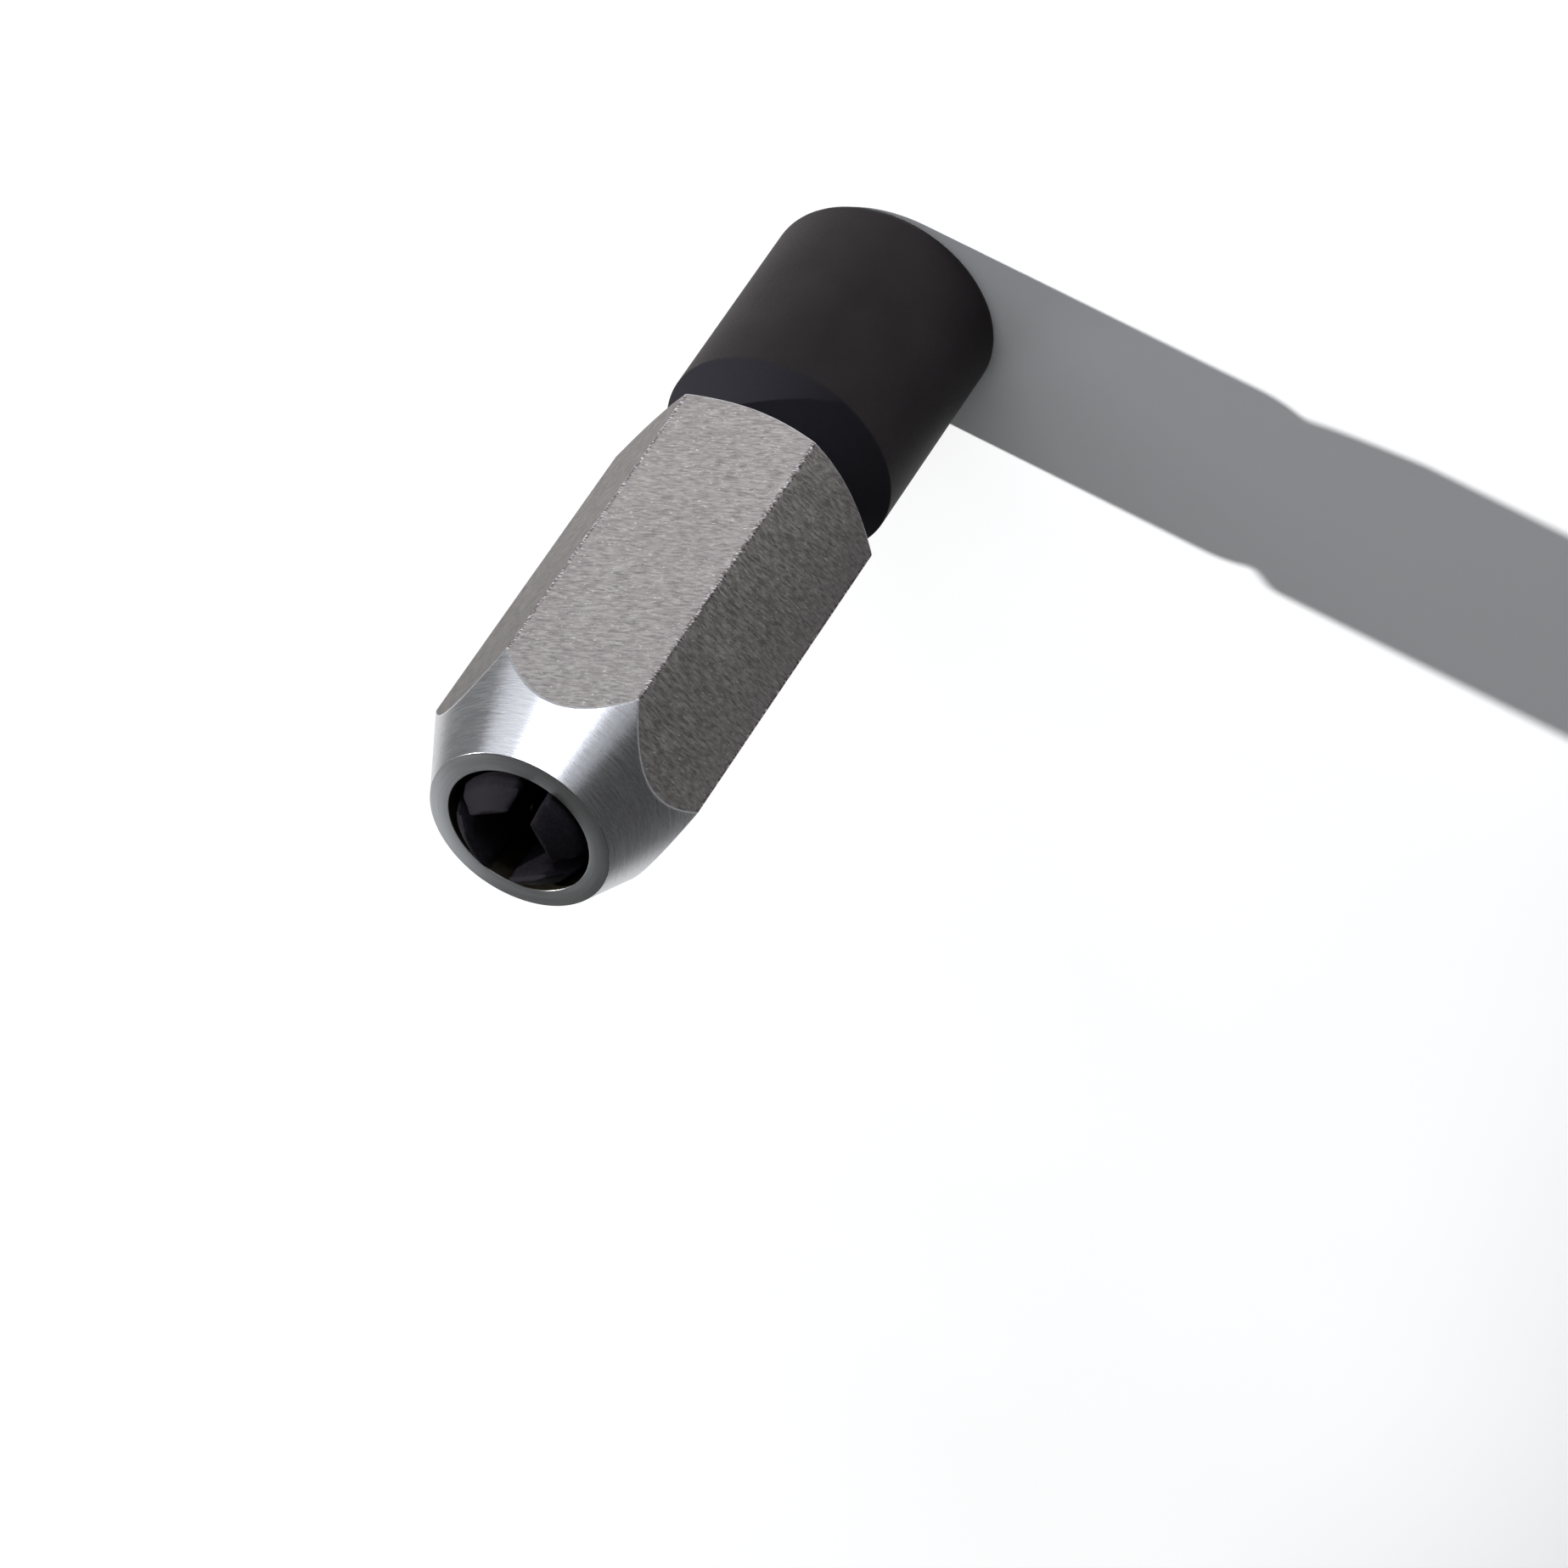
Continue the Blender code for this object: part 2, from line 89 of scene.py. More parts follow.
# Inside of the nut: the brown cast of oiled steel, with painted shade making it dark
BORE_DARK, BORE_LIGHT = (0.060, 0.048, 0.028), (0.11, 0.095, 0.070)
OXIDE_DARK, OXIDE_LIGHT = (0.0105, 0.0078, 0.0088), (0.0142, 0.0112, 0.0122)
# Shoulder and stem: a bluish black, partly the oxide's own tint and partly painted sheen
SHOULDER_BLACK_AND_SHEEN = (0.0125, 0.0119, 0.0155)
JAW_DARK, JAW_LIGHT = (0.0085, 0.0070, 0.0095), (0.0155, 0.0135, 0.0180)
WIRE_DARK, WIRE_LIGHT = (0.40, 0.40, 0.42), (0.58, 0.58, 0.59)
FLOOR_DARK, FLOOR_LIGHT = (0.93, 0.93, 0.93), (0.95, 0.95, 0.95)

# Grinding of the nut's flats, in millimetres: the arc's radius at the flats, the slope of the
# streaks, and where the ridges begin and end. The seam of the azimuth is turned onto a ridge.
GROUND_RADIUS = 9.5
GRINDING_SLOPE = 0.45
RIDGE_START, RIDGE_END = 10.86, 10.93
SEAM_TURN = math.radians(3)

# Nut: radii and angles as the CAD has them, and the size of the rounded edges
NUT_ROLL = math.radians(-33)
HEX_FLATS = 19.05 * MM
RIDGE_ROUND = 0.14 * MM
NUT_REAR_RADIUS = 8.30 * MM
NUT_REAR_ANGLE = math.radians(55.9)
NOSE_RADIUS = 7.48 * MM
RING_FALL = 0.12 * MM
NOSE_ANGLE = math.radians(23.9)
MOUTH_RADIUS = 5.86 * MM
MOUTH_LENGTH = 1.20 * MM
CLOSING_ANGLE = math.radians(20)
CHAMBER_RADIUS = 8.00 * MM
CHAMBER_REAR = 47.20 * MM
THREAD_BORE = 7.29 * MM
SKIRT_CHAMFER = 0.45 * MM
GROOVE_RADIUS = 7.96 * MM
GROOVE_HALF = 0.65 * MM
RING_HEIGHT = 26.80 * MM
COLUMNS_PER_FLAT = 48
FLAT, CONE, NOSE_RING, BORE = range(4)

# Jaws and the holes for their springs
GRIP_HALF = 3.03 * MM
JAW_PARTING = 1.90 * MM
JAW_RADIUS = 7.266 * MM
JAW_LENGTH = 17.60 * MM
JAW_CHAMFER = 0.25 * MM
JAW_TIP_RADIUS = 3.55 * MM
JAW_SEAT_GAP = 0.30 * MM
JAW_SEAT_EDGE = 0.10 * MM
JAW_COLUMNS = 144
CORNER_SHARPNESS = 18
TONGUE_END = 6.20 * MM
TONGUE_HALF = 1.60 * MM
TONGUE_CORNER = 0.15 * MM
SPRING_HOLE_RADIUS = 0.80 * MM
SPRING_HOLE_DEPTH = 2.00 * MM
SPRING_HOLE_POINT = 0.30 * MM
SPRING_HOLE_RIM = 0.22 * MM
SPRING_HOLE_RIM_START = 0.12 * MM
SPRING_HOLE_RIM_END = -0.10 * MM
SPRING_TRAVEL = 0.85 * MM

# Springs: their middles lie at one reach from the axis, at two heights
SPRING_REACH = 5.066 * MM
SPRING_HEIGHTS = (52.602 * MM, 58.002 * MM)
SPRING_WIRE = 0.28 * MM
SPRING_DIAMETER = 1.35 * MM
SPRING_LENGTH = 5.70 * MM
SPRING_TURNS = 6
SPRING_DEAD_TURNS = 0.85
DEAD_TURN_PITCH = 1.03 * SPRING_WIRE
COIL_STEPS = 24
WIRE_SIDES = 12
WIRE_END_SCALE = 0.8

# Retaining ring
RING_WIRE = 1.10 * MM
RING_RADIUS = 7.31 * MM
RING_OPENING = math.radians(24)
RING_STEPS = 120

# Drive body
BODY_RADIUS = 9.65 * MM
BODY_LENGTH = 19.80 * MM
REAR_EDGE_RADIUS = 0.90 * MM
REAR_EDGE_STEPS = 8
SHOULDER_END = 23.79 * MM
# Points of the two softened edges, in millimetres outwards and forwards of the sharp edge
SHOULDER_EDGE = ((0.0, -0.14), (-0.02, -0.04), (-0.06, 0.06))
STEM_FOOT = ((0.10, -0.12), (0.0, 0.05))
STEM_EDGE = 0.15 * MM
STEM_CHAMFER = 0.50 * MM
SHANK_BORE_RADIUS = 4.00 * MM
SHANK_BORE_END = 34.00 * MM
SQUARE = 9.60 * MM
SQUARE_DEPTH = 12.00 * MM
SQUARE_CHAMFER = 0.60 * MM
SQUARE_CORNER = 0.45 * MM
PILOT_RADIUS = 4.72 * MM
PILOT_END = 13.60 * MM
DRILL_POINT = math.radians(59)
DIMPLE_RADIUS = 1.90 * MM
DIMPLE_DEPTH = 0.55 * MM
DIMPLE_HEIGHT = 5.60 * MM
SLOT_WIDTH = 3.60 * MM
SLOT_DEPTH = 3.00 * MM

# Thread of nut and stem, right-handed. Each thread: crest and root radius, start and end height
THREAD_PITCH = 1.411 * MM
THREAD_STEPS = 60
THREAD_RADIUS = 7.14 * MM
STEM_CORE_RADIUS = 6.30 * MM
CREST_HALF = 0.10 * MM
ROOT_HALF = 0.54 * MM
ROOT_BURIED = 0.04 * MM
RUN_OUT_TURNS = 0.35
LEAST_RISE = 0.02
STEM_THREAD = (THREAD_RADIUS, STEM_CORE_RADIUS, 30.10 * MM, 48.40 * MM)
NUT_THREAD = (6.45 * MM, THREAD_BORE, 28.30 * MM, 44.40 * MM)

# Fineness of the meshes
ROUND_STEPS = 4
TURNED_SEGMENTS = 192
HOLE_SEGMENTS = 32
BALL_SEGMENTS, BALL_RINGS = 40, 20
CUT_OVERRUN = 0.50 * MM
WELD_DISTANCE = 0.001 * MM
SHARP_ANGLE = math.radians(32)
WIRE_SHARP_ANGLE = math.radians(60)
NORMAL_WEIGHT = 80


def add_object(name, mesh, *materials):
    thing = bpy.data.objects.new(name, mesh)
    bpy.context.scene.collection.objects.link(thing)
    for material in materials:
        mesh.materials.append(material)
    return thing


def mesh_from(bm, name):
    mesh = bpy.data.meshes.new(name)
    bm.to_mesh(mesh)
    bm.free()
    return mesh


def rounded(points, cuts):
    """A closed outline whose corners are rounded, each by its own cut length along both sides."""
    result = []
    count = len(points)
    for index, (corner, cut) in enumerate(zip(points, cuts)):
        corner = Vector(corner)
        before = corner + (Vector(points[index - 1]) - corner).normalized() * cut
        after = corner + (Vector(points[(index + 1) % count]) - corner).normalized() * cut
        for step in range(ROUND_STEPS + 1):
            t = step / ROUND_STEPS
            result.append(before * (1 - t) ** 2 + corner * (2 * t * (1 - t)) + after * t ** 2)
    return result


def skin(name, rings, wrap=False, kinds=None):
    """Joins rings of equal counts into one closed mesh, wrapped round or capped at both ends."""
    bm = bmesh.new()
    rows = [[bm.verts.new(point) for point in ring] for ring in rings]
    count = len(rows[0])
    last = len(rows) if wrap else len(rows) - 1
    for row in range(last):
        low, high = rows[row], rows[(row + 1) % len(rows)]
        for step in range(count):
            after = (step + 1) % count
            face = bm.faces.new((low[step], low[after], high[after], high[step]))
            if kinds:
                face.material_index = kinds[row]
    if not wrap:
        bm.faces.new(rows[0])
        bm.faces.new(rows[-1])
    bmesh.ops.recalc_face_normals(bm, faces=bm.faces)
    return mesh_from(bm, name)


def turned(name, outline, segments):
    """Spins an outline of (radius, height) points, from axis to axis, about Z."""
    bm = bmesh.new()
    points = [bm.verts.new((radius, 0.0, height)) for radius, height in outline]
    edges = [bm.edges.new(pair) for pair in zip(points, points[1:])]
    bmesh.ops.spin(
        bm, geom=points + edges, cent=(0, 0, 0), axis=(0, 0, 1), angle=FULL_TURN,
        steps=segments, use_merge=True,
    )
    bmesh.ops.remove_doubles(bm, verts=bm.verts, dist=WELD_DISTANCE)
    bmesh.ops.recalc_face_normals(bm, faces=bm.faces)
    return mesh_from(bm, name)


def wire_mesh(name, path, outward, diameter):
    """A round wire along a path, with one outward direction per point and narrowed ends."""
    rings = []
    last = len(path) - 1
    turns = [FULL_TURN * side / WIRE_SIDES for side in range(WIRE_SIDES)]
    for index, (centre, out) in enumerate(zip(path, outward)):
        along = (path[min(index + 1, last)] - path[max(index - 1, 0)]).normalized()
        out = (out - along * out.dot(along)).normalized()
        across = along.cross(out)
        ring = [
            centre + (out * math.cos(turn) + across * math.sin(turn)) * diameter / 2
            for turn in turns
        ]
        rings.append(ring)
    for ring, centre in ((rings[0], path[0]), (rings[-1], path[-1])):
        ring[:] = [centre + (point - centre) * WIRE_END_SCALE for point in ring]
    return skin(name, rings)


def thread_ridge(name, crest, root, low, high, phase):
    """One helical ridge of a thread, from a root inside the carrier's wall out to its crest."""
    turns = (high - low) / THREAD_PITCH
    steps = int(turns * THREAD_STEPS)
    buried = root - ROOT_BURIED if crest > root else root + ROOT_BURIED
    rings = []
    for step in range(steps + 1):
        turned_by = turns * step / steps
        rise = min(1.0, turned_by / RUN_OUT_TURNS, (turns - turned_by) / RUN_OUT_TURNS)
        rise = max(rise, LEAST_RISE)
        top = root + (crest - root) * rise
        half = ROOT_HALF + (CREST_HALF - ROOT_HALF) * rise
        height = low + THREAD_PITCH * turned_by
        angle = FULL_TURN * (height / THREAD_PITCH + phase)
        section = [
            (buried, -ROOT_HALF), (root, -ROOT_HALF), (top, -half),
            (top, half), (root, ROOT_HALF), (buried, ROOT_HALF),
        ]
        rings.append([(r * math.cos(angle), r * math.sin(angle), height + z) for r, z in section])
    return skin(name, rings)


def add_mesh(target, mesh, kind=0):
    """Adds a mesh in the same frame to an object as a further shell."""
    bm = bmesh.new()
    bm.from_mesh(target.data)
    known = len(bm.faces)
    bm.from_mesh(mesh)
    bm.faces.ensure_lookup_table()
    for face in bm.faces[known:]:
        face.material_index = kind
    bm.to_mesh(target.data)
    bm.free()


def combine(target, mesh, operation):
    """Applies one exact boolean between an object at the origin and a mesh in the same frame."""
    tool = add_object("tool", mesh)
    modifier = target.modifiers.new("combine", "BOOLEAN")
    modifier.operation = operation
    modifier.solver = "EXACT"
    modifier.object = tool
    bpy.context.view_layer.update()
    seen = target.evaluated_get(bpy.context.evaluated_depsgraph_get())
    result = bpy.data.meshes.new_from_object(seen)
    target.modifiers.remove(modifier)
    target.data = result
    bpy.data.objects.remove(tool, do_unlink=True)


def shade(thing, angle=SHARP_ANGLE):
    """Smooth shading that keeps real edges sharp and large faces flat."""
    thing.data.shade_smooth()
    thing.data.set_sharp_from_angle(angle=angle)
    weighted = thing.modifiers.new("weighted_normals", "WEIGHTED_NORMAL")
    weighted.keep_sharp = True
    weighted.weight = NORMAL_WEIGHT


class Shader:
    """A Principled material and short calls for the nodes that feed it, in millimetres."""

    def __init__(self, name, constants):
        self.material = bpy.data.materials.new(name)
        self.material.use_nodes = True
        self.tree = self.material.node_tree
        self.surface = self.tree.nodes["Principled BSDF"]
        for label, value in constants.items():
            self.surface.inputs[label].default_value = value
        coordinates = self.tree.nodes.new("ShaderNodeTexCoord")
        scale = self.tree.nodes.new("ShaderNodeVectorMath")
        scale.operation = "SCALE"
        scale.inputs["Scale"].default_value = 1 / MM
        self.tree.links.new(coordinates.outputs["Object"], scale.inputs[0])
        self.place = scale.outputs[0]
        separate = self.tree.nodes.new("ShaderNodeSeparateXYZ")
        self.tree.links.new(self.place, separate.inputs[0])
        self.x, self.y, self.z = separate.outputs
        square_x = self.math("MULTIPLY", self.x, self.x)
        square_y = self.math("MULTIPLY", self.y, self.y)
        self.radius = self.math("SQRT", self.math("ADD", square_x, square_y))

    def feed(self, socket, value):
        """Links a node's output to a socket, or sets the socket to a number or a colour."""
        if isinstance(value, tuple):
            socket.default_value = (*value, 1.0)
        elif isinstance(value, (int, float)):
            socket.default_value = value
        else:
            self.tree.links.new(value, socket)

    def math(self, operation, first, second=0.0):
        node = self.tree.nodes.new("ShaderNodeMath")
        node.operation = operation
        self.feed(node.inputs[0], first)
        self.feed(node.inputs[1], second)
        return node.outputs[0]

    def stretched(self, scales, height=None):
        """Coordinates with a scale of their own along each axis, and another height if given."""
        node = self.tree.nodes.new("ShaderNodeCombineXYZ")
        places = (self.x, self.y, height or self.z)
        for socket, place, scale in zip(node.inputs, places, scales):
            self.feed(socket, self.math("MULTIPLY", place, scale))
        return node.outputs[0]

    def noise(self, vector, scale=1.0, detail=2.0, roughness=0.5):
        node = self.tree.nodes.new("ShaderNodeTexNoise")
        self.feed(node.inputs["Vector"], vector)
        self.feed(node.inputs["Scale"], scale)
        self.feed(node.inputs["Detail"], detail)
        self.feed(node.inputs["Roughness"], roughness)
        return node.outputs["Fac"]

    def ranged(self, value, low, high, out_low=0.0, out_high=1.0):
        node = self.tree.nodes.new("ShaderNodeMapRange")
        self.feed(node.inputs["Value"], value)
        self.feed(node.inputs["From Min"], low)
        self.feed(node.inputs["From Max"], high)
        self.feed(node.inputs["To Min"], out_low)
        self.feed(node.inputs["To Max"], out_high)
        return node.outputs["Result"]

    def mix(self, factor, first, second):
        node = self.tree.nodes.new("ShaderNodeMix")
        node.data_type = "RGBA"
        factor_socket, first_socket, second_socket = (node.inputs[index] for index in (0, 6, 7))
        self.feed(factor_socket, factor)
        self.feed(first_socket, first)
        self.feed(second_socket, second)
        return node.outputs[2]

    def bump(self, height, distance):
        node = self.tree.nodes.new("ShaderNodeBump")
        node.inputs["Strength"].default_value = 1.0
        node.inputs["Distance"].default_value = distance * MM
        self.tree.links.new(height, node.inputs["Height"])
        self.into("Normal", node.outputs[0])

    def into(self, label, output):
        self.tree.links.new(output, self.surface.inputs[label])

    def round_the_axis(self, radius, turn):
        """Arc length round the axis, whose seam stands the given turn before the -X side."""
        cosine, sine = math.cos(turn), math.sin(turn)
        x_along, x_across = self.math("MULTIPLY", self.x, cosine), self.math("MULTIPLY", self.x, sine)
        y_along, y_across = self.math("MULTIPLY", self.y, cosine), self.math("MULTIPLY", self.y, sine)
        x = self.math("SUBTRACT", x_along, y_across)
        y = self.math("ADD", x_across, y_along)
        return self.math("MULTIPLY", self.math("ARCTAN2", y, x), radius)

    def brushed_round(self, amount):
        """Stretches highlights across grooves that run round the axis."""
        self.surface.inputs["Anisotropic"].default_value = amount
        self.surface.inputs["Anisotropic Rotation"].default_value = 0.25
        tangent = self.tree.nodes.new("ShaderNodeTangent")
        tangent.direction_type = "RADIAL"
        tangent.axis = "Z"
        self.into("Tangent", tangent.outputs[0])


def ground_steel():
    """The nut's flats: ground slantwise across, with short streaks, and small bright specks that are
    painted glints.
    """
    s = Shader("ground_steel", {"Metallic": 1.0, "Specular Tint": GROUND_TINT})
    arc = s.round_the_axis(GROUND_RADIUS, SEAM_TURN)
    slant = s.math("SUBTRACT", s.z, s.math("MULTIPLY", arc, GRINDING_SLOPE))
    streaks = s.noise(s.stretched((1.3, 1.3, 4.6), slant), detail=3.0, roughness=0.6)
    specks = s.noise(s.stretched((3.0, 3.0, 7.5), slant), roughness=0.6)
    mottled = s.noise(s.place, scale=0.35, detail=3.0)
    ridge = s.ranged(s.radius, RIDGE_START, RIDGE_END)
    worn = s.math("MULTIPLY", ridge, s.ranged(specks, 0.50, 0.64))
    grey = s.mix(s.ranged(streaks, 0.32, 0.68), GROUND_DARK, GROUND_LIGHT)
    grey = s.mix(s.ranged(mottled, 0.35, 0.65, out_high=0.25), grey, GROUND_STAIN)
    # Painted highlight: small bright specks of glint in the base colour
    grey = s.mix(s.ranged(specks, 0.63, 0.76), grey, GROUND_PAINTED_GLINT)
    # Darker along each ridge of the hex
    grey = s.mix(s.math("MULTIPLY", ridge, 0.75), grey, RIDGE_DARKENING)
    s.into("Base Color", s.mix(worn, grey, RIDGE_WORN))
    s.into("Roughness", s.ranged(streaks, 0.3, 0.7, 0.48, 0.29))
    s.bump(s.math("ADD", streaks, s.math("MULTIPLY", specks, 0.7)), distance=0.022)
    s.brushed_round(0.9)
    return s.material


def turned_steel():
    """The nose cone: bright, with fine grooves and short dashes round the axis."""
    s = Shader("turned_steel", {"Metallic": 1.0})
    along = s.math("ADD", s.z, s.math("MULTIPLY", s.radius, 0.7))
    fine = s.noise(s.stretched((0.5, 0.5, 16.0), along), detail=4.0, roughness=0.6)
    dashes = s.noise(s.stretched((1.3, 1.3, 9.0), along), detail=3.0, roughness=0.6)
    s.into("Base Color", s.mix(s.ranged(fine, 0.3, 0.7), TURNED_DARK, TURNED_LIGHT))
    s.into("Roughness", s.ranged(fine, 0.35, 0.65, 0.24, 0.30))
    s.bump(s.math("ADD", fine, s.math("MULTIPLY", dashes, 2.2)), distance=0.0048)
    s.brushed_round(0.25)
    return s.material


def ring_steel():
    """The flat nose ring: satin, with rings round the mouth."""
    s = Shader("ring_steel", {"Metallic": 1.0})
    along = s.math("ADD", s.z, s.radius)
    fine = s.noise(s.stretched((0.2, 0.2, 11.0), along), detail=3.0)
    s.into("Base Color", s.mix(s.ranged(fine, 0.3, 0.7), NOSE_RING_DARK, NOSE_RING_LIGHT))
    s.into("Roughness", s.ranged(fine, 0.3, 0.7, 0.28, 0.34))
    s.bump(fine, distance=0.004)
    s.brushed_round(0.5)
    return s.material


def bore_steel():
    """Inside of the nut: oiled steel with a brown cast, painted dark for the shade inside the nut."""
    s = Shader("bore_steel", {"Metallic": 0.85})
    along = s.math("ADD", s.z, s.radius)
    fine = s.noise(s.stretched((0.3, 0.3, 9.0), along), detail=3.0)
    stain = s.noise(s.place, scale=0.6, detail=3.0)
    # Painted shade: the nut's inside is coloured far darker than its outer steel
    s.into("Base Color", s.mix(s.ranged(stain, 0.35, 0.65), BORE_DARK, BORE_LIGHT))
    s.into("Roughness", s.ranged(fine, 0.3, 0.7, 0.40, 0.55))
    s.bump(fine, distance=0.008)
    return s.material


def black_oxide():
    """The drive body: matte black oxide over turned steel, coarser on the shoulder and stem, whose bluish
    black is partly painted sheen.
    """
    s = Shader("black_oxide", {"Metallic": 0.0, "IOR": 1.5, "Specular IOR Level": 0.13})
    along = s.math("ADD", s.z, s.radius)
    fine = s.noise(s.stretched((0.25, 0.25, 9.0), along), detail=4.0, roughness=0.6)
    cloud = s.noise(s.place, scale=0.18, detail=3.0)
    grain = s.noise(s.place, scale=9.0)
    black = s.mix(s.ranged(cloud, 0.35, 0.65), OXIDE_DARK, OXIDE_LIGHT)
    edge = BODY_LENGTH / MM
    shoulder = s.ranged(s.z, edge - 0.1, edge + 0.1)
    # Shoulder and stem: bluish black, partly their own tint and partly painted sheen
    s.into("Base Color", s.mix(shoulder, black, SHOULDER_BLACK_AND_SHEEN))
    coarse = s.math("MULTIPLY", shoulder, 0.34)
    s.into("Roughness", s.math("ADD", s.ranged(grain, 0.3, 0.7, 0.54, 0.66), coarse))
    s.bump(s.math("ADD", fine, s.math("MULTIPLY", grain, 0.7)), distance=0.006)
    return s.material


def black_jaw():
    """Jaws: deep black oxide with a fine grain."""
    s = Shader("black_jaw", {"Metallic": 0.0, "IOR": 1.5, "Specular IOR Level": 0.10})
    grain = s.noise(s.place, scale=4.0, detail=4.0)
    s.into("Base Color", s.mix(s.ranged(grain, 0.3, 0.7), JAW_DARK, JAW_LIGHT))
    s.into("Roughness", s.ranged(grain, 0.3, 0.7, 0.60, 0.74))
    s.bump(grain, distance=0.008)
    return s.material


def wire_steel():
    """Springs and retaining ring: drawn wire."""
    s = Shader("wire_steel", {"Metallic": 1.0})
    fine = s.noise(s.place, scale=7.0, detail=3.0)
    s.into("Base Color", s.mix(s.ranged(fine, 0.3, 0.7), WIRE_DARK, WIRE_LIGHT))
    s.into("Roughness", s.ranged(fine, 0.3, 0.7, 0.22, 0.36))
    return s.material


def floor_paper():
    s = Shader("floor_paper", {"Roughness": 0.9, "Specular IOR Level": 0.1})
    tone = s.noise(s.place, scale=0.02)
    s.into("Base Color", s.mix(s.ranged(tone, 0.3, 0.7), FLOOR_DARK, FLOOR_LIGHT))
    return s.material


def hex_columns():
    """Azimuths and hex radii round the nut, with the ridges rounded."""
    apothem = HEX_FLATS / 2
    half_flat = math.radians(30)
    centre = (apothem - RIDGE_ROUND) / math.cos(half_flat)
    edge = math.atan2(RIDGE_ROUND * 0.5, centre + RIDGE_ROUND * math.cos(half_flat))
    columns = []
    for flat in range(6):
        middle = 2 * half_flat * flat
        for step in range(1, COLUMNS_PER_FLAT):
            away = 2 * half_flat * (step / COLUMNS_PER_FLAT - 0.5)
            if abs(away) < half_flat - edge:
                columns.append((middle + away, apothem / math.cos(away)))
        for part in (-1.0, -0.5, 0.0, 0.5, 1.0):
            away = edge * part
            reach = math.sqrt(RIDGE_ROUND ** 2 - (centre * math.sin(away)) ** 2)
            columns.append((middle + half_flat + away, centre * math.cos(away) + reach))
    return columns


def nut_section(hex_radius, rear, front):
    """The nut's outline of (radius, height) at one azimuth, with every corner rounded.

    Each corner's third number is its cut in millimetres.
    """
    ring_edge = front - RING_FALL
    cone_front = front - MOUTH_LENGTH
    chamber_front = cone_front - (CHAMBER_RADIUS - MOUTH_RADIUS) / math.tan(CLOSING_ANGLE)
    corners = [
        (NUT_REAR_RADIUS, rear, 0.12),
        (hex_radius, rear + (hex_radius - NUT_REAR_RADIUS) / math.tan(NUT_REAR_ANGLE), 0.10),
        (hex_radius, ring_edge - (hex_radius - NOSE_RADIUS) / math.tan(NOSE_ANGLE), 0.12),
        (NOSE_RADIUS, ring_edge, 0.04),
        (MOUTH_RADIUS, front, 0.06),
        (MOUTH_RADIUS, cone_front, 0.15),
        (CHAMBER_RADIUS, chamber_front, 0.30),
        (CHAMBER_RADIUS, CHAMBER_REAR, 0.10),
        (THREAD_BORE, CHAMBER_REAR, 0.10),
        (THREAD_BORE, RING_HEIGHT + GROOVE_HALF, 0.05),
        (GROOVE_RADIUS, RING_HEIGHT + GROOVE_HALF, 0.08),
        (GROOVE_RADIUS, RING_HEIGHT - GROOVE_HALF, 0.08),
        (THREAD_BORE, RING_HEIGHT - GROOVE_HALF, 0.05),
        (THREAD_BORE, rear + SKIRT_CHAMFER, 0.08),
        (THREAD_BORE + SKIRT_CHAMFER, rear, 0.08),
    ]
    return rounded([corner[:2] for corner in corners], [corner[2] * MM for corner in corners])


def nut_slot(corner, between):
    """Material slot of a band of the nut, at a corner of its outline or between it and the next."""
    if corner == 1 and between:
        return FLAT
    if corner < 3 or corner == 3 and not between:
        return CONE
    if corner == 3 or corner == 4 and not between:
        return NOSE_RING
    return BORE


def make_nut():
    rear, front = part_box("hex_nut")[0].z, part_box("hex_nut")[1].z
    columns = hex_columns()
    sections = [nut_section(radius, rear, front) for _, radius in columns]
    rings, kinds = [], []
    for level in range(len(sections[0])):
        ring = []
        for (azimuth, _), section in zip(columns, sections):
            radius, height = section[level]
            turn = azimuth + NUT_ROLL
            ring.append((radius * math.cos(turn), radius * math.sin(turn), height))
        rings.append(ring)
        corner, step = divmod(level, ROUND_STEPS + 1)
        kinds.append(nut_slot(corner, step == ROUND_STEPS))
    mesh = skin("nut_shell", rings, True, kinds)
    nut = add_object("nut_shell", mesh, ground_steel(), turned_steel(), ring_steel(), bore_steel())
    add_mesh(nut, thread_ridge("nut_thread", *NUT_THREAD, phase=0.5), kind=BORE)
    shade(nut)
    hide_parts("hex_nut")
    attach(nut, "hex_nut")


def jaw_ring(height, radius, inset):
    """One level of the jaw on +X: its grip, sides and outer arc, with softened corners.

    Each point lies on a ray from the middle of the level, where a high power of the walls'
    nearness picks the nearest wall and rounds the corner between two.
    """
    grip = GRIP_HALF + inset
    middle = (grip + radius) / 2
    side_gap = middle / math.sqrt(2) - JAW_PARTING / 2 - inset
    ring = []
    for step in range(JAW_COLUMNS):
        turn = FULL_TURN * (step + 0.5) / JAW_COLUMNS
        x, y = math.cos(turn), math.sin(turn)
        nearness = [
            -x / (middle - grip),
            (y - x) / math.sqrt(2) / side_gap,
            (-y - x) / math.sqrt(2) / side_gap,
            1 / (math.sqrt(radius ** 2 - (middle * y) ** 2) - middle * x),
        ]
        total = sum(max(value * radius, 0.0) ** CORNER_SHARPNESS for value in nearness)
        reach = radius / total ** (1 / CORNER_SHARPNESS)
        ring.append((middle + reach * x, reach * y, height))
    return ring


